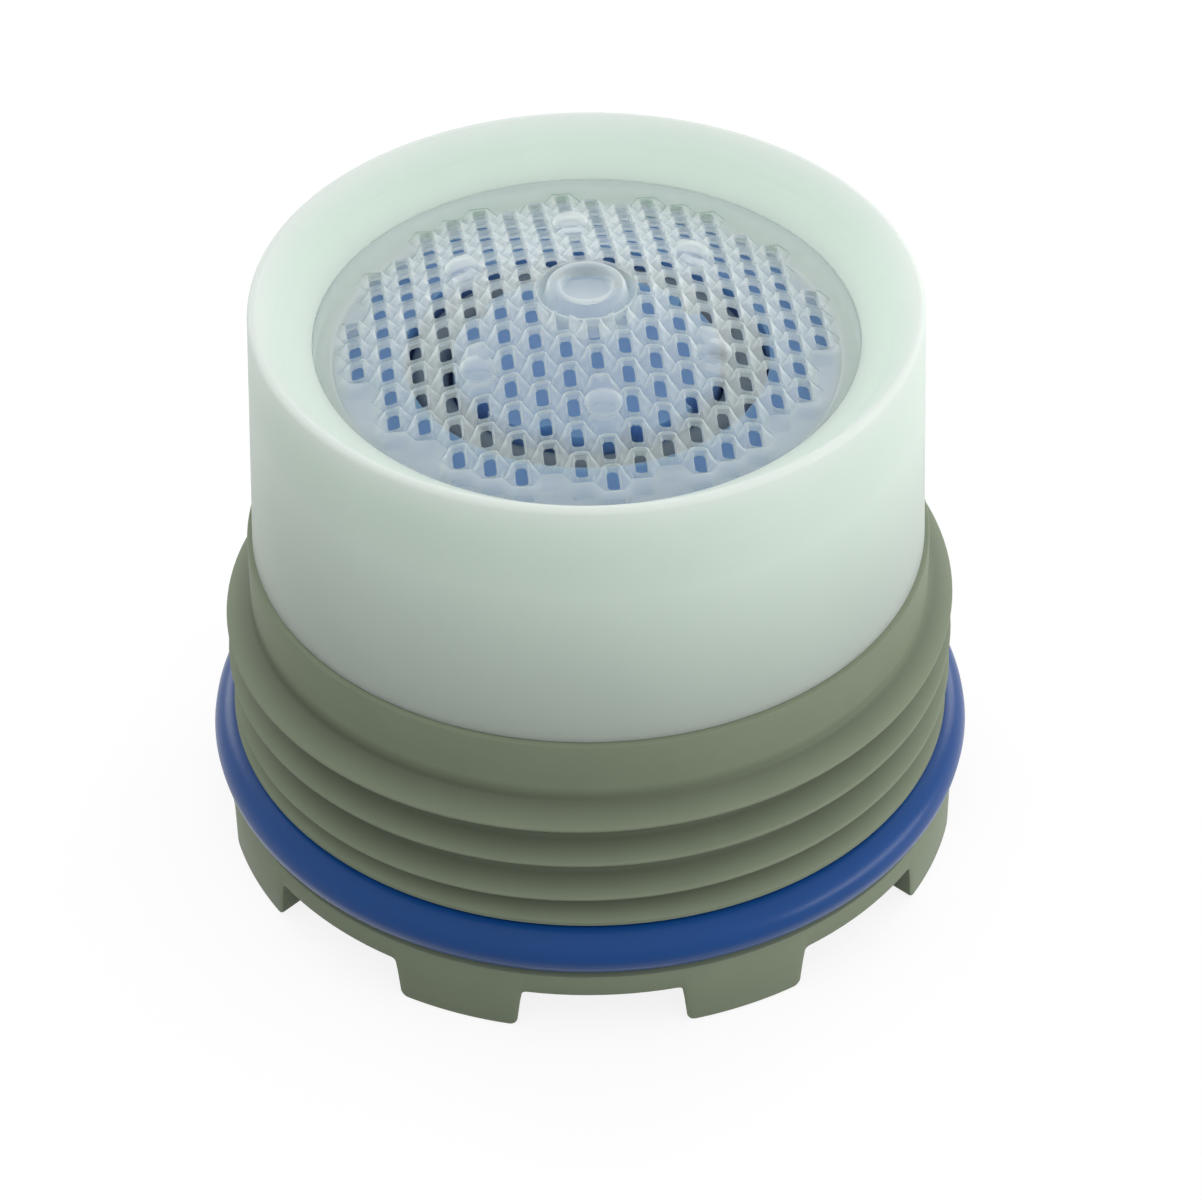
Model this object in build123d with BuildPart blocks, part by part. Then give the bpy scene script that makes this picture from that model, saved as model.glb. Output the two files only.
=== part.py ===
"""Laminar nozzle: a key-fitted insert that screws up into the end of a tap spout.

It stands on the castellated crown of its outlet, with the strainer of its inlet on top.
Millimetres, +Z up, origin on the axis at the foot of the crown teeth.
"""

import os
from math import cos, hypot, radians, sin, sqrt, tan

from build123d import *

os.makedirs("parts", exist_ok=True)

# Thread of the tap spout, which every diameter follows
thread_diameter = 16.5
thread_depth = 0.57
thread_flank = 0.33
thread_length = 3.3

# Crown: the ring of teeth at the outlet, which the fitting key turns
crown_overhang = 0.2
crown_wall = 1.4
tooth_count = 8
tooth_height = 1.05
notch_width = 3.56
notch_flare = 0.12
tooth_corner_radius = 0.2

# Sleeve: flange, seal groove and shoulder under the thread, collar over it
flange_thickness = 0.57
groove_depth = 1.02
seal_section = 1.24
seal_clearance = 0.02
shoulder_inset = 0.05
shoulder_thickness = 0.17
shoulder_slope = 0.25
collar_length = 1.05
sleeve_wall = 0.96
ledge_width = 0.72
ledge_thickness = 0.85

# Snap bead on the cup's spigot, which clicks into the sleeve's bore
snap_height = 0.2
snap_width = 0.26
snap_ramp = 0.18
snap_depth = 0.97

# Cup: the white housing that the regulator and the strainer sit in
fit_clearance = 0.04
cup_inset = 0.12
cup_taper = 0.19
cup_height = 6.19
rim_land = 0.3
rim_wall = 0.7
rim_outer_radius = 0.2
rim_inner_radius = 0.1
rim_depth = 0.55
lip_width = 0.67
lip_drop = 0.4

# Flow regulator in the cup
spigot_wall = 1.1
regulator_height = 3.2
seat_width = 0.66
seat_thickness = 0.6
channel_inner_diameter = 5.9
channel_depth = 1.1
regulator_ring_section = 0.9
ring_clearance = 0.085
flute_count = 10
flute_diameter = 0.6
regulator_edge_radius = 0.15

# Strainer: a clear domed honeycomb on a flange, with a boss on its middle cells and six nubs
strainer_drop = 0.05
strainer_flange_thickness = 0.45
strainer_turn = 4.5
cell_pitch = 0.731
cell_opening = 0.46
cell_rim = 0.13
field_pitches = 7.1
dome_rise = 1.45
dome_radius = 7.0
dome_slope = 19.0
dome_thickness = 0.65
skirt_width = 1.51
boss_base_diameter = 1.94
boss_top_diameter = 1.6
boss_sink = 0.54
boss_height = 0.55
boss_recess_diameter = 1.1
boss_recess_depth = 0.25
nub_column = 4
nub_row = 2.5
nub_end_row = 4.5
nub_diameter = 0.76
nub_rise = 0.1
nub_root = 0.3
nub_edge_chamfer = 0.1

# Mesh screen and outlet honeycomb below the cup
screen_thickness = 0.2
screen_pitch = 1.0
screen_wire = 0.3
screen_edge = 1.68
outlet_rim_height = 1.5
outlet_cell_pitch = 1.15
outlet_cell_opening = 0.93
outlet_edge = 1.48
outlet_recess = 0.1

# Levels and radii that follow from the sizes above
thread_radius = thread_diameter / 2
root_radius = thread_radius - thread_depth
crown_radius = thread_radius + crown_overhang
flange_top = tooth_height + flange_thickness
groove_radius = crown_radius - groove_depth
groove_top = flange_top + seal_section + 2 * seal_clearance
shoulder_radius = thread_radius - shoulder_inset
root_start = groove_top + shoulder_thickness + shoulder_slope
root_end = root_start + thread_length
sleeve_top = root_end + collar_length
bore_radius = root_radius - sleeve_wall
outlet_radius = bore_radius - ledge_width
ledge_top = tooth_height + ledge_thickness
outlet_rim_top = ledge_top + outlet_rim_height
spigot_foot = outlet_rim_top + screen_thickness
spigot_radius = bore_radius - fit_clearance
snap_top = sleeve_top - snap_depth
cup_base_radius = root_radius - cup_inset
cup_rim_radius = cup_base_radius - cup_taper
rim_top = sleeve_top + cup_height
rim_bore_radius = cup_rim_radius - rim_wall
lip_radius = rim_bore_radius - lip_width
lip_top = rim_top - rim_depth - lip_drop
strainer_radius = lip_radius - fit_clearance
strainer_top = lip_top - strainer_drop
strainer_seat = strainer_top - strainer_flange_thickness
skirt_radius = strainer_radius - skirt_width
regulator_bore_radius = spigot_radius - spigot_wall
regulator_radius = regulator_bore_radius - fit_clearance
regulator_top = strainer_seat - fit_clearance
regulator_seat = regulator_top - regulator_height
channel_floor = regulator_top - channel_depth
channel_inner_radius = channel_inner_diameter / 2
channel_outer_radius = channel_inner_radius + regulator_ring_section + 2 * ring_clearance
dome_apex = strainer_top + dome_rise


def snap_profile(radius, top, growth):
    """Points of the snap bead on a wall of that radius, or of its groove if it grows."""
    foot = top - snap_width - 2 * snap_ramp
    return [
        (radius, top + growth),
        (radius + snap_height, top - snap_ramp + growth),
        (radius + snap_height, foot + snap_ramp - growth),
        (radius, foot - growth),
    ]


def dome_drop(radius):
    """How far the dome's top has fallen below its apex at a radius: an arc, then a cone."""
    turn = dome_radius * sin(radians(dome_slope))
    if radius <= turn:
        return dome_radius - sqrt(dome_radius**2 - radius**2)
    return dome_radius * (1 - cos(radians(dome_slope))) + (radius - turn) * tan(radians(dome_slope))


# Threaded sleeve: grey moulding with the crown, the seal groove and the thread's full diameter
with BuildPart() as threaded_sleeve:
    with BuildSketch(Plane.XZ):
        with BuildLine():
            Polyline(
                (outlet_radius, tooth_height),
                (crown_radius - crown_wall, tooth_height),
                (crown_radius - crown_wall, 0),
                (crown_radius, 0),
                (crown_radius, flange_top),
                (groove_radius, flange_top),
                (groove_radius, groove_top),
                (shoulder_radius, groove_top),
                (shoulder_radius, groove_top + shoulder_thickness),
                (root_radius, root_start),
                (thread_radius, root_start + thread_flank),
                (thread_radius, root_end - thread_flank),
                (root_radius, root_end),
                (root_radius, sleeve_top),
                (bore_radius, sleeve_top),
                *snap_profile(bore_radius, snap_top, fit_clearance),
                (bore_radius, ledge_top),
                (outlet_radius, ledge_top),
                close=True,
            )
        make_face()
    revolve(axis=Axis.Z)
    for notch in range(tooth_count):
        with BuildSketch(Plane.XZ.rotated((0, 0, notch * 360 / tooth_count))):
            with BuildLine():
                Polyline(
                    (-notch_width / 2, tooth_height),
                    (notch_width / 2, tooth_height),
                    (notch_width / 2 + notch_flare, 0),
                    (-notch_width / 2 - notch_flare, 0),
                    close=True,
                )
            make_face()
        extrude(amount=2 * crown_radius, mode=Mode.SUBTRACT)
    tooth_ends = threaded_sleeve.edges().group_by(Axis.Z)[0].filter_by(GeomType.LINE)
    fillet(tooth_ends, tooth_corner_radius)
threaded_sleeve.part.label = "threaded_sleeve"
export_step(threaded_sleeve.part, "parts/threaded_sleeve.step")

# Sealing ring: blue rubber ring in the groove, between the flange and the shoulder
with BuildPart() as sealing_ring:
    with BuildSketch(Plane.XZ):
        with Locations((groove_radius + seal_clearance + seal_section / 2, (flange_top + groove_top) / 2)):
            Circle(seal_section / 2)
    revolve(axis=Axis.Z)
sealing_ring.part.label = "sealing_ring"
export_step(sealing_ring.part, "parts/sealing_ring.step")

# Insert cup: white housing, its spigot snapped into the sleeve and its shoulder on the sleeve's top
with BuildPart() as insert_cup:
    with BuildSketch(Plane.XZ):
        with BuildLine():
            Polyline(
                (regulator_bore_radius, spigot_foot),
                (spigot_radius, spigot_foot),
                *reversed(snap_profile(spigot_radius, snap_top, 0)),
                (spigot_radius, sleeve_top),
                (cup_base_radius, sleeve_top),
                (cup_rim_radius, rim_top),
                (cup_rim_radius - rim_land, rim_top),
                (rim_bore_radius, rim_top - rim_depth),
                (lip_radius, lip_top),
                (lip_radius, strainer_seat),
                (regulator_bore_radius, strainer_seat),
                (regulator_bore_radius, regulator_seat),
                (regulator_bore_radius - seat_width, regulator_seat),
                (regulator_bore_radius - seat_width, regulator_seat - seat_thickness),
                (regulator_bore_radius, regulator_seat - seat_thickness - seat_width),
                close=True,
            )
        make_face()
    revolve(axis=Axis.Z)
    rim_edges = insert_cup.edges().filter_by(GeomType.CIRCLE).group_by(Axis.Z)[-1].sort_by(SortBy.RADIUS)
    fillet(rim_edges[-1], rim_outer_radius)
    fillet(rim_edges[0], rim_inner_radius)
insert_cup.part.label = "insert_cup"
export_step(insert_cup.part, "parts/insert_cup.step")

# Regulator body: blue disc with a ring channel and a fluted core, on the cup's inner seat
with BuildPart() as regulator_body:
    with BuildSketch(Plane.XY.offset(regulator_seat)):
        Circle(regulator_radius)
    extrude(amount=regulator_height)
    with BuildSketch(Plane.XY.offset(channel_floor)):
        Circle(channel_outer_radius)
        Circle(channel_inner_radius, mode=Mode.SUBTRACT)
    extrude(amount=channel_depth, mode=Mode.SUBTRACT)
    with BuildSketch(Plane.XY.offset(regulator_seat)):
        with PolarLocations(channel_inner_radius, flute_count):
            Circle(flute_diameter / 2)
    extrude(amount=regulator_height, mode=Mode.SUBTRACT)
    fillet(
        regulator_body.edges().filter_by(GeomType.CIRCLE).group_by(Axis.Z)[-1].sort_by(SortBy.RADIUS)[-1],
        regulator_edge_radius,
    )
regulator_body.part.label = "regulator_body"
export_step(regulator_body.part, "parts/regulator_body.step")

# Regulator ring: dark elastic ring on the channel's floor, which water presses into the flutes
with BuildPart() as regulator_ring:
    with BuildSketch(Plane.XZ):
        ring_spine = (channel_inner_radius + channel_outer_radius) / 2
        with Locations((ring_spine, channel_floor + regulator_ring_section / 2)):
            Circle(regulator_ring_section / 2)
    revolve(axis=Axis.Z)
regulator_ring.part.label = "regulator_ring"
export_step(regulator_ring.part, "parts/regulator_ring.step")


def staggered(pitch, reach):
    """Spots of a staggered pattern in a round field: columns along Y, a spot in the middle."""
    count = int(2 * reach / pitch)
    spots = []
    for column in range(-count, count + 1):
        for row in range(-count, count + 1):
            x = column * pitch * sqrt(3) / 2
            y = (row + column % 2 / 2) * pitch
            if hypot(x, y) < reach:
                spots.append((x, y))
    return spots


def strainer_plane(level):
    """A level plane turned to the strainer's own direction."""
    return Plane((0, 0, level), (cos(radians(strainer_turn)), sin(radians(strainer_turn)), 0))


# Strainer cells: all are open apart from those under the boss and the nubs
boss_radius = boss_base_diameter / 2
nub_x = nub_column * cell_pitch * sqrt(3) / 2
nub_spots = [(x, side * nub_row * cell_pitch) for x in (-nub_x, nub_x) for side in (-1, 1)]
nub_spots += [(0, side * nub_end_row * cell_pitch) for side in (-1, 1)]
cell_spots = staggered(cell_pitch, field_pitches * cell_pitch)
open_spots = [
    (x, y)
    for x, y in cell_spots
    if hypot(x, y) > boss_radius + cell_opening / 2
    and all(hypot(x - u, y - v) > nub_diameter / 2 for u, v in nub_spots)
]

# Strainer nubs: round studs that each close two cells
nub_level = dome_apex - dome_drop(nub_end_row * cell_pitch)
with BuildPart() as nubs:
    with BuildSketch(strainer_plane(nub_level - nub_root)):
        with Locations(*nub_spots):
            Circle(nub_diameter / 2)
    extrude(amount=nub_root + nub_rise)
    chamfer(nubs.edges().group_by(Axis.Z)[-1], nub_edge_chamfer)

# Strainer: clear domed honeycomb with a scalloped edge, and a hollow boss sunk into its middle
dome_turn = dome_radius * sin(radians(dome_slope))
boss_foot = dome_apex - boss_sink
boss_top = boss_foot + boss_height
with BuildPart() as strainer:
    with BuildSketch(strainer_plane(strainer_seat)):
        with Locations(*cell_spots):
            RegularPolygon((cell_pitch + cell_rim) / 2, 6, major_radius=False)
    extrude(amount=boss_top - strainer_seat)
    with BuildSketch(Plane.XZ):
        with BuildLine():
            top_arc = RadiusArc(
                (boss_radius, dome_apex - dome_drop(boss_radius)),
                (dome_turn, dome_apex - dome_drop(dome_turn)),
                dome_radius,
            )
            Polyline(
                top_arc @ 1,
                (strainer_radius, dome_apex - dome_drop(strainer_radius)),
                (strainer_radius, strainer_seat),
                (skirt_radius, strainer_seat),
                (skirt_radius, dome_apex - dome_drop(skirt_radius) - dome_thickness),
                (dome_turn, dome_apex - dome_drop(dome_turn) - dome_thickness),
            )
            RadiusArc(
                (dome_turn, dome_apex - dome_drop(dome_turn) - dome_thickness),
                (0, dome_apex - dome_thickness),
                -dome_radius,
            )
            Polyline(
                (0, dome_apex - dome_thickness),
                (0, boss_top - boss_recess_depth),
                (boss_recess_diameter / 2, boss_top - boss_recess_depth),
                (boss_recess_diameter / 2, boss_top),
                (boss_top_diameter / 2, boss_top),
                (boss_radius, boss_foot),
                top_arc @ 0,
            )
        make_face()
    revolve(axis=Axis.Z, mode=Mode.INTERSECT)
    with BuildSketch(Plane.XY.offset(strainer_seat)):
        Circle(strainer_radius)
        Circle(skirt_radius, mode=Mode.SUBTRACT)
    extrude(amount=strainer_flange_thickness)
    add(nubs.part)
    with BuildSketch(strainer_plane(strainer_seat)):
        with Locations(*open_spots):
            RegularPolygon(cell_opening / 2, 6, major_radius=False)
    extrude(amount=dome_apex - strainer_seat, mode=Mode.SUBTRACT)
strainer.part.label = "strainer"
export_step(strainer.part, "parts/strainer.step")

# Outlet grid: honeycomb that straightens the stream, its rim on the sleeve's ledge
outlet_field_radius = spigot_radius - outlet_edge
with BuildPart() as outlet_grid:
    with BuildSketch(Plane.XY.offset(ledge_top)):
        Circle(spigot_radius)
    extrude(amount=outlet_rim_height)
    with BuildSketch(Plane.XY.offset(ledge_top)):
        Circle(outlet_radius - fit_clearance)
    extrude(amount=tooth_height + outlet_recess - ledge_top)
    with BuildSketch(Plane.XY.offset(outlet_rim_top)):
        with Locations(*staggered(outlet_cell_pitch, outlet_field_radius)):
            RegularPolygon(outlet_cell_opening / 2, 6, major_radius=False)
    extrude(amount=tooth_height + outlet_recess - outlet_rim_top, mode=Mode.SUBTRACT)
outlet_grid.part.label = "outlet_grid"
export_step(outlet_grid.part, "parts/outlet_grid.step")

# Mesh screen: steel mesh disc clamped between the outlet grid and the cup's spigot
screen_field_radius = spigot_radius - screen_edge
screen_reach = int(screen_field_radius / screen_pitch)
screen_spots = [
    (column * screen_pitch, row * screen_pitch)
    for column in range(-screen_reach, screen_reach + 1)
    for row in range(-screen_reach, screen_reach + 1)
    if hypot(column, row) * screen_pitch < screen_field_radius
]
with BuildPart() as mesh_screen:
    with BuildSketch(Plane.XY.offset(outlet_rim_top)):
        Circle(spigot_radius)
        with Locations(*screen_spots):
            Rectangle(screen_pitch - screen_wire, screen_pitch - screen_wire, mode=Mode.SUBTRACT)
    extrude(amount=screen_thickness)
mesh_screen.part.label = "mesh_screen"
export_step(mesh_screen.part, "parts/mesh_screen.step")
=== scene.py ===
"""Laminar nozzle: looks of a key-fitted insert for the end of a tap spout.

Metres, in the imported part's own frame. Each section names its sizes in millimetres.
"""
from math import asin, cos, hypot, pi, radians, sin, sqrt, tan

import bmesh
import bpy
import numpy as np
from mathutils import Matrix, Vector


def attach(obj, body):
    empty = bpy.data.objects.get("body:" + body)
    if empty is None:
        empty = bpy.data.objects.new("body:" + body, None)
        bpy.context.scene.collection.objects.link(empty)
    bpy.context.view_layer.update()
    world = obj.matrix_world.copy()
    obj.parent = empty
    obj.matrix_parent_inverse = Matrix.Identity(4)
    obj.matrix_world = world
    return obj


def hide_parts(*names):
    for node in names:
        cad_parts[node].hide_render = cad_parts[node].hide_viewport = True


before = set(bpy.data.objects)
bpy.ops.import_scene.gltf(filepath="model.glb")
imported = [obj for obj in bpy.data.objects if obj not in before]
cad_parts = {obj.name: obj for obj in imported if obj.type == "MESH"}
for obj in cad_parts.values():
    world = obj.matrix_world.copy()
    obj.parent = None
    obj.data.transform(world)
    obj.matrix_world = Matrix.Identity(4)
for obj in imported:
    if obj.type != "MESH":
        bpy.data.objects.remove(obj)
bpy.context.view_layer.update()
scene = bpy.context.scene
scene.view_settings.view_transform = "Standard"

# Camera: a long lens that looks down on the nozzle's mouth from the front, a little from the left
# of the crown's front notch, as in a plain product shot.
MM = 0.001
camera_back, camera_height, lens_length = 86.423, 76.662, 147.09
camera_data = bpy.data.cameras.new("camera")
camera_data.sensor_fit = "HORIZONTAL"
camera_data.sensor_width = 36.0
camera_data.lens = lens_length
camera_data.clip_start = 0.005
camera = bpy.data.objects.new("camera", camera_data)
scene.collection.objects.link(camera)
part_turn, camera_tilt, camera_pan, camera_roll = (radians(a) for a in (-1.5, 39.5057, 0.1804, -0.3943))
camera_place = Matrix.Rotation(part_turn, 4, "Z") @ Vector((0, -camera_back * MM, camera_height * MM))
camera.matrix_world = (
    Matrix.Translation(camera_place)
    @ Matrix.Rotation(part_turn - camera_pan, 4, "Z")
    @ Matrix.Rotation(pi / 2 - camera_tilt, 4, "X")
    @ Matrix.Rotation(camera_roll, 4, "Z")
)
scene.camera = camera

# Studio: a sheet of white paper under the nozzle and an even, pale sky around it. A low lamp at the right
# and two lamps behind add to it, so the side that faces the camera's left is the shaded one.
paper_mesh = bpy.data.meshes.new("paper")
paper_level = -0.01 * MM
paper_corners = [(x, y, paper_level) for x, y in ((-2, -2), (2, -2), (2, 2), (-2, 2))]
paper_mesh.from_pydata(paper_corners, [], [(0, 1, 2, 3)])
paper = bpy.data.objects.new("paper", paper_mesh)
scene.collection.objects.link(paper)


def seen_directly(nodes, links):
    """1 where the camera, a reflection or clear plastic looks at a surface, 0 for its light on others."""
    path = nodes.new("ShaderNodeLightPath")
    either = nodes.new("ShaderNodeMath")
    either.operation = "MAXIMUM"
    links.new(path.outputs["Is Camera Ray"], either.inputs[0])
    links.new(path.outputs["Is Glossy Ray"], either.inputs[1])
    any_of_three = nodes.new("ShaderNodeMath")
    any_of_three.operation = "MAXIMUM"
    links.new(either.outputs[0], any_of_three.inputs[0])
    links.new(path.outputs["Is Transmission Ray"], any_of_three.inputs[1])
    return any_of_three.outputs[0]


paper_look = bpy.data.materials.new("white_paper")
paper_look.use_nodes = True
nodes, links = paper_look.node_tree.nodes, paper_look.node_tree.links
paper_diffuse = nodes["Principled BSDF"]
paper_diffuse.inputs["Base Color"].default_value = (0.19, 0.19, 0.19, 1)
paper_diffuse.inputs["Roughness"].default_value = 0.9
paper_diffuse.inputs["Specular IOR Level"].default_value = 0.1
paper_glow = nodes.new("ShaderNodeEmission")
glow_level = nodes.new("ShaderNodeMath")
glow_level.operation = "MULTIPLY"
glow_level.inputs[1].default_value = 0.85
links.new(seen_directly(nodes, links), glow_level.inputs[0])
links.new(glow_level.outputs[0], paper_glow.inputs["Strength"])
paper_sum = nodes.new("ShaderNodeAddShader")
links.new(paper_diffuse.outputs[0], paper_sum.inputs[0])
links.new(paper_glow.outputs[0], paper_sum.inputs[1])
links.new(paper_sum.outputs[0], nodes["Material Output"].inputs["Surface"])
paper_mesh.materials.append(paper_look)

sky = bpy.data.worlds.new("studio_sky")
scene.world = sky
sky.use_nodes = True
nodes, links = sky.node_tree.nodes, sky.node_tree.links
sky_light = nodes["Background"]
sky_way = nodes.new("ShaderNodeTexCoord")
sky_slope = nodes.new("ShaderNodeVectorMath")
sky_slope.operation = "DOT_PRODUCT"
sky_slope.inputs[1].default_value = (0.11, -0.08, -0.10)
links.new(sky_way.outputs["Generated"], sky_slope.inputs[0])
sky_level = nodes.new("ShaderNodeMath")
sky_level.operation = "ADD"
sky_level.inputs[1].default_value = 0.87
links.new(sky_slope.outputs["Value"], sky_level.inputs[0])
sky_floor = nodes.new("ShaderNodeMath")
sky_floor.operation = "MAXIMUM"
sky_floor.inputs[1].default_value = 0.05
links.new(sky_level.outputs[0], sky_floor.inputs[0])
sky_seen = nodes.new("ShaderNodeMix")
sky_seen.data_type = "FLOAT"
links.new(seen_directly(nodes, links), sky_seen.inputs["Factor"])
links.new(sky_floor.outputs[0], sky_seen.inputs["A"])
sky_seen.inputs["B"].default_value = 1.0
links.new(sky_seen.outputs["Result"], sky_light.inputs["Strength"])
sky_light.inputs["Color"].default_value = (1, 1, 1, 1)


def soft_box(name, place, aim, width, height, power):
    """A lamp with an oblong face that stands at a place and faces a point, both in millimetres."""
    lamp_data = bpy.data.lights.new(name, "AREA")
    lamp_data.shape = "RECTANGLE"
    lamp_data.size = width * MM
    lamp_data.size_y = height * MM
    lamp_data.energy = power
    lamp = bpy.data.objects.new(name, lamp_data)
    lamp.location = Vector(place) * MM
    lamp.rotation_euler = (Vector(aim) - Vector(place)).to_track_quat("-Z", "Y").to_euler()
    scene.collection.objects.link(lamp)


soft_box("side_lamp", (90, -25, 9), (0, 0, 6), 80, 16, 0.025)
soft_box("left_lamp", (-85, 105, 50), (0, 0, 6), 50, 50, 0.032)
soft_box("right_lamp", (85, 105, 50), (0, 0, 6), 50, 50, 0.032)

# Threaded sleeve: the grey-green body, moulded in one shot in matte plastic. Key notches at its foot,
# a groove for the seal, a right-hand thread and a plain collar that the white cup is snapped into.
crown_radius, crown_inner, crown_height = 8.45, 7.05, 1.05
notch_count, notch_half, notch_flare = 8, 1.78, 0.12
notch_root_radius, tooth_corner_radius, edge_round = 0.1, 0.2, 0.06
flange_top, groove_radius, groove_top = 1.62, 7.43, 2.90
shoulder_radius, shoulder_top = 8.20, 3.07
thread_radius, root_radius, thread_pitch = 8.25, 7.68, 1.0
thread_low, thread_high, front_crest, front_angle = 3.32, 6.72, 5.76, radians(-91.5)
sleeve_top, bore_radius = 7.67, 6.72
outlet_radius, ledge_top = 6.0, 1.90
snap_low, snap_floor_low, snap_floor_high, snap_high, snap_depth = 6.04, 6.22, 6.56, 6.74, 0.2
thread_lead_in, fade_from, fade_to = 0.32, 195, 262
ridge_away = [0, 0.02, 0.045, 0.07, 0.33, 0.37, 0.42, 0.5]
ridge_swell = [1, 0.995, 0.965, 0.9, 0.12, 0.03, 0, 0]
flank_middle = 0.2


def piece_from(name, points, faces, sharp_degrees):
    """A smooth-shaded mesh object from points in millimetres, welded, that rides on the part."""
    weld = 2e-4 * MM
    mesh = bpy.data.meshes.new(name)
    mesh.from_pydata(np.asarray(points) * MM, [], faces)
    shell = bmesh.new()
    shell.from_mesh(mesh)
    bmesh.ops.remove_doubles(shell, verts=shell.verts, dist=weld)
    bmesh.ops.dissolve_degenerate(shell, edges=shell.edges, dist=weld)
    bmesh.ops.recalc_face_normals(shell, faces=shell.faces)
    shell.to_mesh(mesh)
    shell.free()
    mesh.shade_smooth()
    mesh.set_sharp_from_angle(angle=radians(sharp_degrees))
    piece = bpy.data.objects.new(name, mesh)
    scene.collection.objects.link(piece)
    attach(piece, "root")
    return piece


def notch_half_outline(inset):
    """Half of one key notch as offsets from its middle and heights, moved into the plastic by an inset."""
    outline = [(x, crown_height, 0, 1) for x in np.linspace(0, notch_half - notch_root_radius, 6)]
    for turn in np.radians([30, 60, 90]):
        outline.append((
            notch_half - notch_root_radius * (1 - sin(turn)),
            crown_height - notch_root_radius * (1 - cos(turn)),
            sin(turn),
            cos(turn),
        ))
    for height in (0.7, 0.45, tooth_corner_radius):
        outline.append((notch_half + notch_flare * (1 - height / crown_height), height, 1, 0))
    corner = outline[-1][0] + tooth_corner_radius
    for turn in np.radians([18, 36, 54, 72, 90]):
        outline.append((
            corner - tooth_corner_radius * cos(turn),
            tooth_corner_radius * (1 - sin(turn)),
            cos(turn),
            sin(turn),
        ))
    return [(x + inset * nx, z + inset * nz) for x, z, nx, nz in outline]


def crown_columns(radius, inset):
    """Angles of the mesh's columns at a radius, and the height of the crown's underside on each."""
    outline = notch_half_outline(inset)
    half = [asin(x / radius) for x, z in outline]
    under = [z for x, z in outline]
    tooth = np.linspace(half[-1], pi / notch_count, 8)[1:]
    half = np.concatenate([half, tooth])
    under = np.concatenate([under, np.full(len(tooth), under[-1])])
    sector = np.concatenate([-half[:0:-1], half])[1:]
    sector_under = np.concatenate([under[:0:-1], under])[1:]
    starts = -pi / 2 + np.arange(notch_count) * 2 * pi / notch_count
    return (starts[:, None] + sector[None, :]).ravel(), np.tile(sector_under, notch_count)


def ring_row(radius, height, inset=0.0):
    """One row of points around the sleeve; without a height it follows the crown's underside."""
    angles, under = crown_columns(min(max(radius, crown_inner), crown_radius), inset)
    heights = under if height is None else np.full(len(angles), height)
    return np.stack([radius * np.cos(angles), radius * np.sin(angles), heights], 1)


def smooth_step(low, high, value):
    """0 below the low end, 1 above the high end, eased between."""
    t = np.clip((value - low) / (high - low), 0, 1)
    return t * t * (3 - 2 * t)


def thread_swell(angles, heights):
    """How far the thread stands over its root, from 0 to 1, at angles and heights."""
    turns = (heights - front_crest) / thread_pitch - (angles - front_angle) / (2 * pi)
    crest = np.round(turns)
    away = np.abs(turns - crest)
    ridge = np.interp(away, ridge_away, ridge_swell)
    wound = np.degrees(angles - front_angle) + 360 * crest
    lead_in = smooth_step(thread_low, thread_low + thread_lead_in, heights)
    return ridge * lead_in * (1 - smooth_step(fade_from, fade_to, wound))


inner_wall = ring_row(crown_inner, None, edge_round)
inner_wall[:, 2] = np.minimum(inner_wall[:, 2], crown_height)
lower_rows = [
    ring_row(bore_radius, snap_low),
    ring_row(bore_radius, ledge_top),
    ring_row(outlet_radius + edge_round, ledge_top),
    ring_row(outlet_radius, ledge_top - edge_round),
    ring_row(outlet_radius, crown_height + edge_round),
    ring_row(outlet_radius + edge_round, crown_height),
    ring_row(crown_inner, crown_height),
    inner_wall,
    ring_row(crown_inner + edge_round, None),
    ring_row(crown_radius - edge_round, None),
    ring_row(crown_radius - edge_round * 0.3, None, edge_round * 0.3),
    ring_row(crown_radius, None, edge_round),
    ring_row(crown_radius, flange_top - edge_round),
    ring_row(crown_radius - edge_round * 0.3, flange_top - edge_round * 0.3),
    ring_row(crown_radius - edge_round, flange_top),
    ring_row(groove_radius, flange_top),
    ring_row(groove_radius, groove_top),
    ring_row(shoulder_radius - 0.05, groove_top),
    ring_row(shoulder_radius, groove_top + 0.05),
    ring_row(shoulder_radius, shoulder_top - 0.04),
    ring_row(shoulder_radius - 0.05, shoulder_top + 0.02),
    ring_row(root_radius + 0.04, thread_low - 0.03),
]
upper_rows = [
    ring_row(root_radius, thread_high + 0.05),
    ring_row(root_radius, sleeve_top - edge_round),
    ring_row(root_radius - edge_round * 0.3, sleeve_top - edge_round * 0.3),
    ring_row(root_radius - edge_round, sleeve_top),
    ring_row(bore_radius + edge_round, sleeve_top),
    ring_row(bore_radius, sleeve_top - edge_round),
    ring_row(bore_radius, snap_high),
    ring_row(bore_radius + snap_depth, snap_floor_high),
    ring_row(bore_radius + snap_depth, snap_floor_low),
]
half_phases = ridge_away[:-1] + [flank_middle]
phases = np.array(sorted({-ridge_away[-1], *half_phases, *(-phase for phase in half_phases)}))
column_angles = crown_columns(8.0, 0)[0]
wound_from = column_angles[0]
crest_at_start = front_crest + thread_pitch * (wound_from - front_angle) / (2 * pi)
starts = [crest_at_start + thread_pitch * (lap + phase) for lap in range(-4, 3) for phase in phases]
thread_rows = []
for start in starts:
    heights = start + thread_pitch * (column_angles - wound_from) / (2 * pi)
    heights = np.clip(heights, thread_low, thread_high)
    radii = root_radius + (thread_radius - root_radius) * thread_swell(column_angles, heights)
    thread_rows.append(np.stack([radii * np.cos(column_angles), radii * np.sin(column_angles), heights], 1))
sleeve_rows = lower_rows + thread_rows + upper_rows
columns = len(column_angles)
first_thread, last_thread = len(lower_rows), len(lower_rows) + len(thread_rows) - 1
sleeve_faces = []
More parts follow.
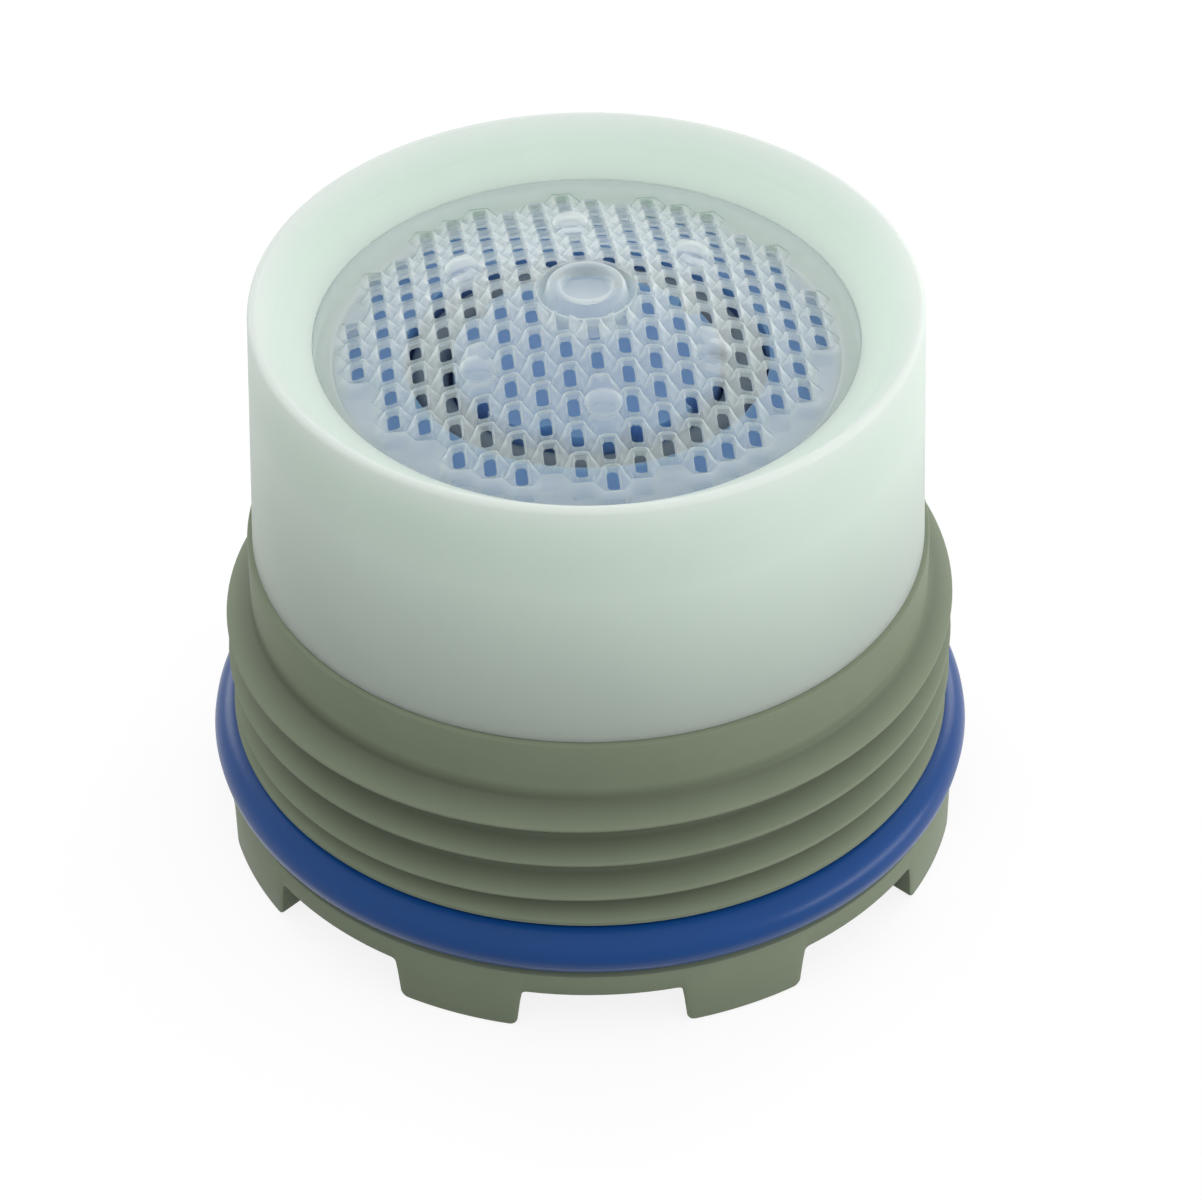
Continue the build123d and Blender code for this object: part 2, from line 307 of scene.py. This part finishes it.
for row in range(len(sleeve_rows)):
    above = (row + 1) % len(sleeve_rows)
    for column in range(columns):
        beside = (column + 1) % columns
        lift_low = lift_high = 0
        if beside == 0:
            if first_thread <= row <= last_thread:
                lift_low = min(len(phases), last_thread - row)
            if first_thread <= above <= last_thread:
                lift_high = min(len(phases), last_thread - above)
        sleeve_faces.append((
            row * columns + column,
            (row + lift_low) * columns + beside,
            (above + lift_high) * columns + beside,
            above * columns + column,
        ))
sleeve_faces = [tuple(dict.fromkeys(face)) for face in sleeve_faces]
sleeve_faces = [face for face in sleeve_faces if len(face) > 2]
sleeve = piece_from("sleeve_moulding", np.concatenate(sleeve_rows), sleeve_faces, 38)
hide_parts("threaded_sleeve")


def moulded_plastic(name, colour, shade, roughness, cloud_scale, grain_scale, grain_height):
    """Moulded plastic: faint clouds between two colours and a fine grain from the mould's skin."""
    look = bpy.data.materials.new(name)
    look.use_nodes = True
    nodes, links = look.node_tree.nodes, look.node_tree.links
    surface = nodes["Principled BSDF"]
    place = nodes.new("ShaderNodeTexCoord")
    clouds = nodes.new("ShaderNodeTexNoise")
    clouds.inputs["Scale"].default_value = cloud_scale
    clouds.inputs["Detail"].default_value = 5.0
    links.new(place.outputs["Object"], clouds.inputs["Vector"])
    tint = nodes.new("ShaderNodeMix")
    tint.data_type = "RGBA"
    tint.inputs["A"].default_value = (*shade, 1)
    tint.inputs["B"].default_value = (*colour, 1)
    links.new(clouds.outputs["Fac"], tint.inputs["Factor"])
    links.new(tint.outputs["Result"], surface.inputs["Base Color"])
    grain = nodes.new("ShaderNodeTexNoise")
    grain.inputs["Scale"].default_value = grain_scale
    grain.inputs["Detail"].default_value = 3.0
    links.new(place.outputs["Object"], grain.inputs["Vector"])
    dents = nodes.new("ShaderNodeBump")
    dents.inputs["Strength"].default_value = 0.35
    dents.inputs["Distance"].default_value = grain_height * MM
    links.new(grain.outputs["Fac"], dents.inputs["Height"])
    links.new(dents.outputs["Normal"], surface.inputs["Normal"])
    sheen = nodes.new("ShaderNodeMapRange")
    sheen.inputs["To Min"].default_value = roughness - 0.06
    sheen.inputs["To Max"].default_value = roughness + 0.06
    links.new(clouds.outputs["Fac"], sheen.inputs["Value"])
    links.new(sheen.outputs["Result"], surface.inputs["Roughness"])
    return look, surface


sleeve_look, sleeve_surface = moulded_plastic(
    "grey_matte_plastic", (0.256, 0.300, 0.212), (0.222, 0.262, 0.183), 0.50, 900, 9000, 0.012
)
sleeve_surface.inputs["Specular IOR Level"].default_value = 0.12
# Painted shade: below the collar, the base colour darkens with nearness to the axis. It is full at the
# thread's crests and deepest in the roots, the seal's groove and the bore, standing in for the shade that
# falls there.
deepest_painted_shade, collar_painted_shade_start, collar_painted_shade_end = 0.58, front_crest + 0.40, front_crest + 0.75
nodes, links = sleeve_look.node_tree.nodes, sleeve_look.node_tree.links
sleeve_place = nodes.new("ShaderNodeTexCoord")
sleeve_axes = nodes.new("ShaderNodeSeparateXYZ")
links.new(sleeve_place.outputs["Object"], sleeve_axes.inputs["Vector"])
sleeve_flat = nodes.new("ShaderNodeVectorMath")
sleeve_flat.operation = "MULTIPLY"
sleeve_flat.inputs[1].default_value = (1, 1, 0)
links.new(sleeve_place.outputs["Object"], sleeve_flat.inputs[0])
sleeve_reach = nodes.new("ShaderNodeVectorMath")
sleeve_reach.operation = "LENGTH"
links.new(sleeve_flat.outputs["Vector"], sleeve_reach.inputs[0])
thread_painted_shade_ramp = nodes.new("ShaderNodeMapRange")
thread_painted_shade_ramp.inputs["From Min"].default_value = root_radius * MM
thread_painted_shade_ramp.inputs["From Max"].default_value = thread_radius * MM
thread_painted_shade_ramp.inputs["To Min"].default_value = deepest_painted_shade
thread_painted_shade_ramp.inputs["To Max"].default_value = 1.0
links.new(sleeve_reach.outputs["Value"], thread_painted_shade_ramp.inputs["Value"])
collar_painted_shade_ramp = nodes.new("ShaderNodeMapRange")
collar_painted_shade_ramp.inputs["From Min"].default_value = collar_painted_shade_start * MM
collar_painted_shade_ramp.inputs["From Max"].default_value = collar_painted_shade_end * MM
collar_painted_shade_ramp.inputs["To Min"].default_value = deepest_painted_shade
collar_painted_shade_ramp.inputs["To Max"].default_value = 1.0
links.new(sleeve_axes.outputs["Z"], collar_painted_shade_ramp.inputs["Value"])
painted_shade_factor = nodes.new("ShaderNodeMath")
painted_shade_factor.operation = "MAXIMUM"
links.new(thread_painted_shade_ramp.outputs["Result"], painted_shade_factor.inputs[0])
links.new(collar_painted_shade_ramp.outputs["Result"], painted_shade_factor.inputs[1])
sleeve_painted_colour = nodes.new("ShaderNodeVectorMath")
sleeve_painted_colour.operation = "SCALE"
links.new(sleeve_surface.inputs["Base Color"].links[0].from_socket, sleeve_painted_colour.inputs["Vector"])
links.new(painted_shade_factor.outputs[0], sleeve_painted_colour.inputs["Scale"])
links.new(sleeve_painted_colour.outputs["Vector"], sleeve_surface.inputs["Base Color"])
sleeve.data.materials.append(sleeve_look)

# Sealing ring: a blue rubber ring of round section, stretched into the sleeve's groove. A fine parting
# line from its two-part mould runs around it.
seal_spine, seal_half, seal_level = 8.07, 0.62, 2.26
parting_height, parting_width = 0.008, 0.05
seal_turns = np.linspace(0, 2 * pi, 300, endpoint=False)
seal_section = np.linspace(0, 2 * pi, 48, endpoint=False)
parting_line = parting_height * np.exp(-((np.sin(seal_section) / parting_width) ** 2))
seal_reach = seal_half - parting_height + parting_line
seal_points = [
    (
        (seal_spine + reach * cos(around)) * cos(turn),
        (seal_spine + reach * cos(around)) * sin(turn),
        seal_level + reach * sin(around),
    )
    for turn in seal_turns
    for around, reach in zip(seal_section, seal_reach)
]


def wrapped_faces(rows, across):
    """Faces of a grid that closes on itself both ways."""
    return [
        (
            row * across + column,
            (row + 1) % rows * across + column,
            (row + 1) % rows * across + (column + 1) % across,
            row * across + (column + 1) % across,
        )
        for row in range(rows)
        for column in range(across)
    ]


seal = piece_from(
    "seal_ring", seal_points, wrapped_faces(len(seal_turns), len(seal_section)), 60
)
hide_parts("sealing_ring")
seal_look, seal_surface = moulded_plastic(
    "blue_rubber", (0.005, 0.066, 0.268), (0.004, 0.057, 0.234), 0.30, 700, 6000, 0.008
)
seal_surface.inputs["Specular IOR Level"].default_value = 0.25
seal.data.materials.append(seal_look)

# Outlet grid: a white honeycomb disc on the sleeve's inner ledge, moulded in one shot. It straightens
# the stream where it leaves the nozzle.
grid_look, grid_surface = moulded_plastic(
    "white_grid_plastic", (0.72, 0.75, 0.70), (0.64, 0.67, 0.62), 0.42, 700, 7000, 0.01
)
grid_surface.inputs["Subsurface Weight"].default_value = 0.25
grid_surface.inputs["Subsurface Radius"].default_value = (0.8, 0.8, 0.7)
grid_surface.inputs["Subsurface Scale"].default_value = 0.4 * MM
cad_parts["outlet_grid"].data.materials.clear()
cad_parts["outlet_grid"].data.materials.append(grid_look)

# Mesh screen: a disc of plain-woven stainless wire that calms the stream. It is stamped out of a sheet and
# clamped between the cup's spigot and the outlet grid.
screen_radius, screen_level, wire_gap, wire_half = 6.6, 3.50, 0.42, 0.048
screen_points, screen_faces = [], []
wire_sides, strand_count, shortest_reach = 6, 15, 0.5
for across in (0, 1):
    for strand in range(-strand_count, strand_count + 1):
        offset = strand * wire_gap
        reach = sqrt(max(screen_radius**2 - offset**2, 0))
        if reach < shortest_reach:
            continue
        steps = int(2 * reach / wire_gap * 4)
        base = len(screen_points)
        for step in range(steps + 1):
            along = -reach + 2 * reach * step / steps
            lift = wire_half * cos(pi * along / wire_gap) * (1 if (strand + across) % 2 else -1)
            for side in range(wire_sides):
                around = 2 * pi * side / wire_sides
                beside = offset + wire_half * cos(around)
                height = screen_level + lift + wire_half * sin(around)
                screen_points.append((along, beside, height) if across else (-beside, along, height))
        for step in range(steps):
            for side in range(wire_sides):
                following = (side + 1) % wire_sides
                low = base + step * wire_sides
                high = low + wire_sides
                screen_faces.append((low + side, low + following, high + following, high + side))
        screen_faces.append(tuple(base + side for side in range(wire_sides)))
        screen_faces.append(tuple(base + steps * wire_sides + side for side in range(wire_sides)))
screen = piece_from("woven_screen", screen_points, screen_faces, 60)
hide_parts("mesh_screen")
screen_look, screen_surface = moulded_plastic(
    "woven_steel", (0.62, 0.62, 0.60), (0.50, 0.50, 0.48), 0.3, 2500, 9000, 0.004
)
screen_surface.inputs["Metallic"].default_value = 1.0
screen.data.materials.append(screen_look)

# Insert cup: a milky, slightly greenish cup moulded in one shot. Its spigot snaps into the sleeve and its
# shoulder stands on the sleeve's top; the inlet steps down inside a thick rounded rim.
# Each corner is a radius, a height and the radius of its rounding.
cup_corners = [
    (5.58, 3.60, 0),
    (6.68, 3.60, 0.08),
    (6.68, 6.08, 0),
    (6.88, 6.26, 0),
    (6.88, 6.52, 0),
    (6.68, 6.70, 0),
    (6.68, 7.67, 0),
    (7.56, 7.67, 0.05),
    (7.37, 13.86, 0.14),
    (7.20, 13.86, 0.05),
    (6.67, 13.31, 0.12),
    (6.00, 12.91, 0.02),
    (6.00, 12.41, 0),
    (5.58, 12.41, 0.05),
    (5.58, 9.17, 0),
    (4.92, 9.17, 0.06),
    (4.92, 8.57, 0.06),
    (5.58, 7.91, 0),
]


def rounded_profile(corners):
    """A closed outline of radius and height with each corner replaced by an arc of its own radius."""
    outline = []
    for index, (x, z, radius) in enumerate(corners):
        here = Vector((x, z))
        if radius == 0:
            outline.append(here)
            continue
        back = (Vector(corners[index - 1][:2]) - here).normalized()
        ahead = (Vector(corners[(index + 1) % len(corners)][:2]) - here).normalized()
        half_turn = back.angle(ahead) / 2
        centre = here + (back + ahead).normalized() * (radius / sin(half_turn))
        begin = here + back * (radius / tan(half_turn)) - centre
        end = here + ahead * (radius / tan(half_turn)) - centre
        steps = 5
        for step in range(steps + 1):
            arm = begin.slerp(end, step / steps)
            outline.append(centre + arm.normalized() * radius)
    return outline


def turned_points(outline, turns):
    """Points of an outline of radius and height turned about the axis."""
    angles = np.linspace(0, 2 * pi, turns, endpoint=False)
    return [(p.x * cos(angle), p.x * sin(angle), p.y) for angle in angles for p in outline]


cup_outline = rounded_profile(cup_corners)
cup_turns = 240
cup_faces = wrapped_faces(cup_turns, len(cup_outline))
cup = piece_from("milky_cup", turned_points(cup_outline, cup_turns), cup_faces, 50)
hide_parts("insert_cup")
# Painted shade: the base colour darkens towards the cup's foot, standing in for light that comes in through
# the milky rim from above and fades lower down.
painted_shade_bottom, painted_shade_top, painted_foot_shade = 7.4, 11.6, 0.64
cup_look, cup_surface = moulded_plastic(
    "milky_plastic", (0.80, 0.93, 0.83), (0.76, 0.885, 0.79), 0.42, 500, 8000, 0.006
)
nodes, links = cup_look.node_tree.nodes, cup_look.node_tree.links
cup_place = nodes.new("ShaderNodeTexCoord")
cup_axes = nodes.new("ShaderNodeSeparateXYZ")
links.new(cup_place.outputs["Object"], cup_axes.inputs["Vector"])
cup_painted_shade_ramp = nodes.new("ShaderNodeMapRange")
cup_painted_shade_ramp.inputs["From Min"].default_value = painted_shade_bottom * MM
cup_painted_shade_ramp.inputs["From Max"].default_value = painted_shade_top * MM
cup_painted_shade_ramp.inputs["To Min"].default_value = painted_foot_shade
cup_painted_shade_ramp.inputs["To Max"].default_value = 1.0
links.new(cup_axes.outputs["Z"], cup_painted_shade_ramp.inputs["Value"])
cup_painted_colour = nodes.new("ShaderNodeVectorMath")
cup_painted_colour.operation = "SCALE"
links.new(cup_surface.inputs["Base Color"].links[0].from_socket, cup_painted_colour.inputs["Vector"])
links.new(cup_painted_shade_ramp.outputs["Result"], cup_painted_colour.inputs["Scale"])
links.new(cup_painted_colour.outputs["Vector"], cup_surface.inputs["Base Color"])
cup_surface.inputs["Subsurface Weight"].default_value = 0.65
cup_surface.inputs["Subsurface Radius"].default_value = (1.0, 1.1, 1.0)
cup_surface.inputs["Subsurface Scale"].default_value = 1.0 * MM
cup_surface.inputs["Specular IOR Level"].default_value = 0.1
cup.data.materials.append(cup_look)

# Flow regulator: a bright blue, slightly translucent moulded disc with a ring channel, and the dark elastic
# ring that lies loose in it. Both are seen through the strainer's openings.
regulator_look, regulator_surface = moulded_plastic(
    "bright_blue_plastic", (0.190, 0.350, 0.640), (0.165, 0.315, 0.580), 0.5, 600, 6000, 0.006
)
regulator_surface.inputs["Subsurface Weight"].default_value = 0.7
regulator_surface.inputs["Subsurface Radius"].default_value = (0.6, 0.9, 1.3)
regulator_surface.inputs["Subsurface Scale"].default_value = 1.2 * MM
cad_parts["regulator_body"].data.materials.clear()
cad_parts["regulator_body"].data.materials.append(regulator_look)
elastic_look, _ = moulded_plastic(
    "dark_rubber", (0.165, 0.205, 0.240), (0.135, 0.170, 0.205), 0.5, 900, 7000, 0.006
)
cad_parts["regulator_ring"].data.materials.clear()
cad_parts["regulator_ring"].data.materials.append(elastic_look)

# Strainer: a clear, slightly hazy honeycomb dome moulded in one shot with its flange, pressed into the
# cup's mouth. Each opening has a raised collar; a hollow boss stands in the middle and six nubs around it.
cell_pitch, field_pitches, strainer_turn = 0.731, 7.1, radians(4.5)
dome_apex, dome_radius, dome_slope = 14.31, 7.0, radians(19.0)
web_thickness, valley_depth, border_groove = 0.18, 0.15, 0.03
flange_radius, flange_level, flange_foot = 5.995, 12.87, 12.41
mouth_half_width, mouth_half_length = 0.152, 0.280
throat_half_width, throat_half_length = 0.126, 0.268
collar_width, lip_depth, flange_edge, foot_edge = 1.10, 0.03, 0.005, 0.05
collar_slope = ((1, 1), (0.8, 0.7), (0.55, 0.3), (0.28, 0.06), (0, 0))
boss_cover, nub_radius = 1.2, 0.42
nub_column, nub_row, nub_end_row = 4, 2.5, 4.5
dome_turn = dome_radius * sin(dome_slope)


def dome_height(x, y):
    """Height of the dome's top: an arc about the axis, then a cone."""
    radius = hypot(x, y)
    if radius <= dome_turn:
        return dome_apex - dome_radius + sqrt(dome_radius**2 - radius**2)
    return dome_apex - dome_radius * (1 - cos(dome_slope)) - (radius - dome_turn) * tan(dome_slope)


cells = {}
for column in range(-9, 10):
    for row in range(-9, 10):
        x = column * cell_pitch * sqrt(3) / 2
        y = (row + column % 2 / 2) * cell_pitch
        if hypot(x, y) < field_pitches * cell_pitch:
            cells[column, row] = (x, y)
nub_x = nub_column * cell_pitch * sqrt(3) / 2
nub_spots = [(x, side * nub_row * cell_pitch) for x in (-nub_x, nub_x) for side in (-1, 1)]
nub_spots += [(0, side * nub_end_row * cell_pitch) for side in (-1, 1)]


def is_open(x, y):
    """True where no boss or nub covers a cell."""
    return hypot(x, y) > boss_cover and all(hypot(x - u, y - v) > nub_radius for u, v in nub_spots)


def neighbour(column, row, side):
    """The cell across one of the six sides; side 0 faces 30 degrees, and they go round leftwards."""
    shift = column % 2
    steps = [(1, shift), (0, 1), (-1, shift), (-1, shift - 1), (0, -1), (1, shift - 1)]
    return column + steps[side][0], row + steps[side][1]


places_around = 24
around_cell = [radians(360 / places_around * k) for k in range(places_around)]
cell_reach = [cell_pitch / 2 / cos((angle % (pi / 3)) - pi / 6) for angle in around_cell]


def opening_reach(angle, half_width, half_length):
    """Reach of a rounded oblong opening in a direction."""
    power = 6.0
    return (abs(cos(angle) / half_width) ** power + abs(sin(angle) / half_length) ** power) ** (-1 / power)


mouth_reach = [opening_reach(angle, mouth_half_width, mouth_half_length) for angle in around_cell]
throat_reach = [opening_reach(angle, throat_half_width, throat_half_length) for angle in around_cell]
strainer_points, strainer_faces = [], []


def add_point(x, y, z):
    """Adds a point of the strainer and returns its number."""
    strainer_points.append((x, y, z))
    return len(strainer_points) - 1


def join_rings(outer, inner):
    """Faces between two rings of equal length."""
    count = len(outer)
    for k in range(count):
        strainer_faces.append((outer[k], outer[(k + 1) % count], inner[(k + 1) % count], inner[k]))


def side_run(side):
    """The five places around a cell that lie on one of its sides."""
    return [(side * 4 + k) % places_around for k in range(5)]


def edge_place(key, k):
    """Where a cell's outline lies at one of the places around it."""
    x, y = cells[key]
    return x + cell_reach[k] * cos(around_cell[k]), y + cell_reach[k] * sin(around_cell[k])


open_sides = [(key, side) for key in cells for side in range(6) if neighbour(*key, side) not in cells]
field_edge = {tuple(np.round(edge_place(key, k), 4)) for key, side in open_sides for k in side_run(side)}


def valley_height(u, v):
    """Height of the line where two collars meet, or where the outermost collars meet the flange."""
    if tuple(np.round((u, v), 4)) in field_edge:
        return flange_level - border_groove
    return dome_height(u, v) - valley_depth


for key, (x, y) in cells.items():
    edge = [edge_place(key, k) for k in range(places_around)]
    edge_drop = [dome_height(u, v) - valley_height(u, v) for u, v in edge]

    def cell_ring(share, sink, inner):
        """A ring between an inner outline and the cell's edge, sunk by a share of the valley's depth."""
        ring = []
        for k, (u, v) in enumerate(edge):
            p = x + inner[k] * cos(around_cell[k]) + share * (u - x - inner[k] * cos(around_cell[k]))
            q = y + inner[k] * sin(around_cell[k]) + share * (v - y - inner[k] * sin(around_cell[k]))
            ring.append(add_point(p, q, dome_height(p, q) - sink * edge_drop[k]))
        return ring

    def level_ring(reaches, drop):
        """A ring at a plain depth under the dome's top."""
        ring = []
        for angle, reach in zip(around_cell, reaches):
            p, q = x + reach * cos(angle), y + reach * sin(angle)
            ring.append(add_point(p, q, dome_height(p, q) - drop))
        return ring

    collar = [reach * collar_width for reach in mouth_reach]
    rings = [cell_ring(share, sink, collar) for share, sink in collar_slope]
    for outer, inner in zip(rings, rings[1:]):
        join_rings(outer, inner)
    foot = level_ring(cell_reach, web_thickness)
    if is_open(x, y):
        lip = level_ring(mouth_reach, lip_depth)
        bottom = level_ring(throat_reach, web_thickness)
        join_rings(rings[-1], lip)
        join_rings(lip, bottom)
        join_rings(bottom, foot)
    else:
        middle = add_point(x, y, dome_height(x, y))
        under = add_point(x, y, dome_height(x, y) - web_thickness)
        for k in range(places_around):
            following = (k + 1) % places_around
            strainer_faces.append((rings[-1][k], rings[-1][following], middle))
            strainer_faces.append((foot[following], foot[k], under))
    for side in range(6):
        if (key, side) in open_sides:
            run = side_run(side)
            top = [add_point(*edge[k], flange_level) for k in run]
            low = [add_point(*edge[k], flange_foot) for k in run]
            for k in range(4):
                strainer_faces.append((rings[0][run[k]], rings[0][run[k + 1]], top[k + 1], top[k]))
                strainer_faces.append((foot[run[k]], foot[run[k + 1]], low[k + 1], low[k]))

flange_turns = [2 * pi * k / 180 for k in range(180)]
flange_edges = []
for radius, level in (
    (flange_radius - flange_edge, flange_level),
    (flange_radius, flange_level - flange_edge),
    (flange_radius, flange_foot + foot_edge),
    (flange_radius - foot_edge, flange_foot),
):
    flange_edges.append([add_point(radius * cos(a), radius * sin(a), level) for a in flange_turns])
for above, below in zip(flange_edges, flange_edges[1:]):
    join_rings(above, below)

shell = bmesh.new()
turn = Matrix.Rotation(strainer_turn, 4, "Z")
corners = [shell.verts.new(turn @ Vector(p)) for p in strainer_points]
for face in strainer_faces:
    shell.faces.new([corners[k] for k in dict.fromkeys(face)])
bmesh.ops.remove_doubles(shell, verts=shell.verts, dist=1e-4)
for level in (flange_level, flange_foot):
    rim = [edge for edge in shell.edges if edge.is_boundary]
    rim = [edge for edge in rim if all(abs(v.co.z - level) < 1e-4 for v in edge.verts)]
    bmesh.ops.triangle_fill(shell, use_beauty=True, use_dissolve=False, edges=rim)
shell.verts.index_update()
strainer = piece_from(
    "clear_strainer",
    [v.co[:] for v in shell.verts],
    [[v.index for v in f.verts] for f in shell.faces],
    50,
)
shell.free()
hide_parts("strainer")


def stud(outline, x, y):
    """A turned solid as a helper object, its outline given from the axis out and back to the axis."""
    ring = [Vector(p) for p in outline]
    mesh = bpy.data.meshes.new("stud")
    points = [(u + x, v + y, z) for u, v, z in turned_points(ring, 48)]
    mesh.from_pydata(np.array(points) * MM, [], wrapped_faces(48, len(ring)))
    lathe = bmesh.new()
    lathe.from_mesh(mesh)
    bmesh.ops.remove_doubles(lathe, verts=lathe.verts, dist=0.004 * MM)
    bmesh.ops.recalc_face_normals(lathe, faces=lathe.faces)
    lathe.to_mesh(mesh)
    lathe.free()
    helper = bpy.data.objects.new("stud", mesh)
    scene.collection.objects.link(helper)
    return helper


def combine(piece, helper, operation):
    """Cuts a helper solid out of a piece, or unites it with the piece, and drops the helper."""
    modifier = piece.modifiers.new("stud", "BOOLEAN")
    modifier.operation = operation
    modifier.solver = "MANIFOLD"
    modifier.object = helper
    solved = piece.evaluated_get(bpy.context.evaluated_depsgraph_get())
    shaped = bpy.data.meshes.new_from_object(solved)
    piece.modifiers.clear()
    piece.data = shaped
    bpy.data.objects.remove(helper)


boss_pocket = [(0, 13.5), (1.1, 13.5), (1.1, 15), (0, 15)]
boss_outline = [
    (0, 13.62), (1.1, 13.62), (1.16, 14.08), (1.13, 14.14), (1.06, 14.13), (1.0, 13.80), (0.965, 13.80),
    (0.87, 14.22), (0.83, 14.29), (0.77, 14.32), (0.66, 14.32), (0.59, 14.30), (0.55, 14.25), (0.52, 14.10),
    (0.46, 14.07), (0, 14.07),
]
combine(strainer, stud(boss_pocket, 0, 0), "DIFFERENCE")
combine(strainer, stud(boss_outline, 0, 0), "UNION")
nub_level = dome_height(0, nub_end_row * cell_pitch)
nub_outline = [
    (0, nub_level - 0.3), (0.30, nub_level - 0.3), (nub_radius, nub_level - 0.02), (0.41, nub_level + 0.03),
    (0.36, nub_level + 0.08), (0.27, nub_level + 0.115), (0.14, nub_level + 0.13), (0, nub_level + 0.135),
]
for x, y in nub_spots:
    place = turn @ Vector((x, y, 0))
    combine(strainer, stud(nub_outline, place.x, place.y), "UNION")
strainer.data.shade_smooth()
strainer.data.set_sharp_from_angle(angle=radians(50))

clear_look = bpy.data.materials.new("clear_plastic")
clear_look.use_nodes = True
nodes, links = clear_look.node_tree.nodes, clear_look.node_tree.links
clear_surface = nodes["Principled BSDF"]
clear_surface.inputs["IOR"].default_value = 1.46
place = nodes.new("ShaderNodeTexCoord")
haze = nodes.new("ShaderNodeTexNoise")
haze.inputs["Scale"].default_value = 1600
haze.inputs["Detail"].default_value = 3.0
links.new(place.outputs["Object"], haze.inputs["Vector"])
tint = nodes.new("ShaderNodeMix")
tint.data_type = "RGBA"
tint.inputs["A"].default_value = (0.86, 0.95, 0.94, 1)
tint.inputs["B"].default_value = (0.93, 0.99, 0.98, 1)
links.new(haze.outputs["Fac"], tint.inputs["Factor"])
links.new(tint.outputs["Result"], clear_surface.inputs["Base Color"])
haze_range = nodes.new("ShaderNodeMapRange")
haze_range.inputs["To Min"].default_value = 0.12
haze_range.inputs["To Max"].default_value = 0.28
links.new(haze.outputs["Fac"], haze_range.inputs["Value"])
links.new(haze_range.outputs["Result"], clear_surface.inputs["Roughness"])
glance = nodes.new("ShaderNodeLayerWeight")
glance.inputs["Blend"].default_value = 0.4
body = nodes.new("ShaderNodeMapRange")
body.inputs["To Min"].default_value = 0.13
body.inputs["To Max"].default_value = 0.92
links.new(glance.outputs["Facing"], body.inputs["Value"])
links.new(body.outputs["Result"], clear_surface.inputs["Alpha"])
flow_marks = nodes.new("ShaderNodeBump")
flow_marks.inputs["Strength"].default_value = 0.3
flow_marks.inputs["Distance"].default_value = 0.01 * MM
links.new(haze.outputs["Fac"], flow_marks.inputs["Height"])
links.new(flow_marks.outputs["Normal"], clear_surface.inputs["Normal"])
strainer.data.materials.clear()
strainer.data.materials.append(clear_look)
